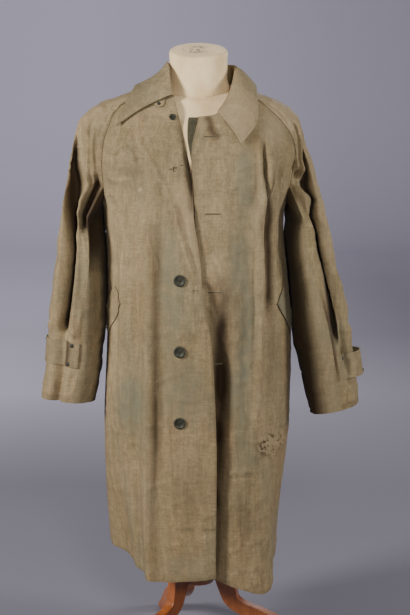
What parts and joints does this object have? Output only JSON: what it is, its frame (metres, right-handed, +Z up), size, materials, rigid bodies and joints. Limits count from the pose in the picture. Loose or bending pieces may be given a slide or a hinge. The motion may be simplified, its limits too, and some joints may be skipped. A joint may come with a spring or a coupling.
{
  "type": "raincoat on a limbless dress form with a wooden tripod stand",
  "caption": "Knee-length raglan raincoat in khaki waxed cotton, open at the neck, shown on a limbless cloth-covered dress form that stands on a wooden tripod.",
  "frame": {"origin": "on the floor, under the middle of the box around the whole object", "axes": "+Z up, the coat's front faces -Y, and +X is the wearer's left"},
  "size_m": [0.7261, 0.5037, 1.4021],
  "materials": {
    "waxed_cotton": "worn waxed cotton, dull",
    "facing_cloth": "unfaded dark green cloth, dull",
    "button_grey_green": "satin",
    "form_cover": "plain cream cotton cover, dull",
    "varnished_wood": "orange-brown varnish, satin"
  },
  "bodies": {
    "root": {"front_right": "waxed_cotton", "front_left": "waxed_cotton", "back": "waxed_cotton", "sleeve_right_upper": "waxed_cotton", "sleeve_right_under": "waxed_cotton", "sleeve_left_upper": "waxed_cotton", "sleeve_left_under": "waxed_cotton", "collar": "waxed_cotton", "cuff_strap_right": "waxed_cotton", "cuff_strap_left": "waxed_cotton", "pocket_welt_right": "waxed_cotton", "pocket_welt_left": "waxed_cotton", "facing_left": "facing_cloth", "front_button_1": "button_grey_green", "front_button_2": "button_grey_green", "front_button_3": "button_grey_green", "collar_button": "button_grey_green", "form_torso": "form_cover", "form_neck": "form_cover", "stand_column": "varnished_wood", "stand_hub": "varnished_wood", "stand_leg_1": "varnished_wood", "stand_leg_2": "varnished_wood", "stand_leg_3": "varnished_wood"}
  },
  "joints": []
}
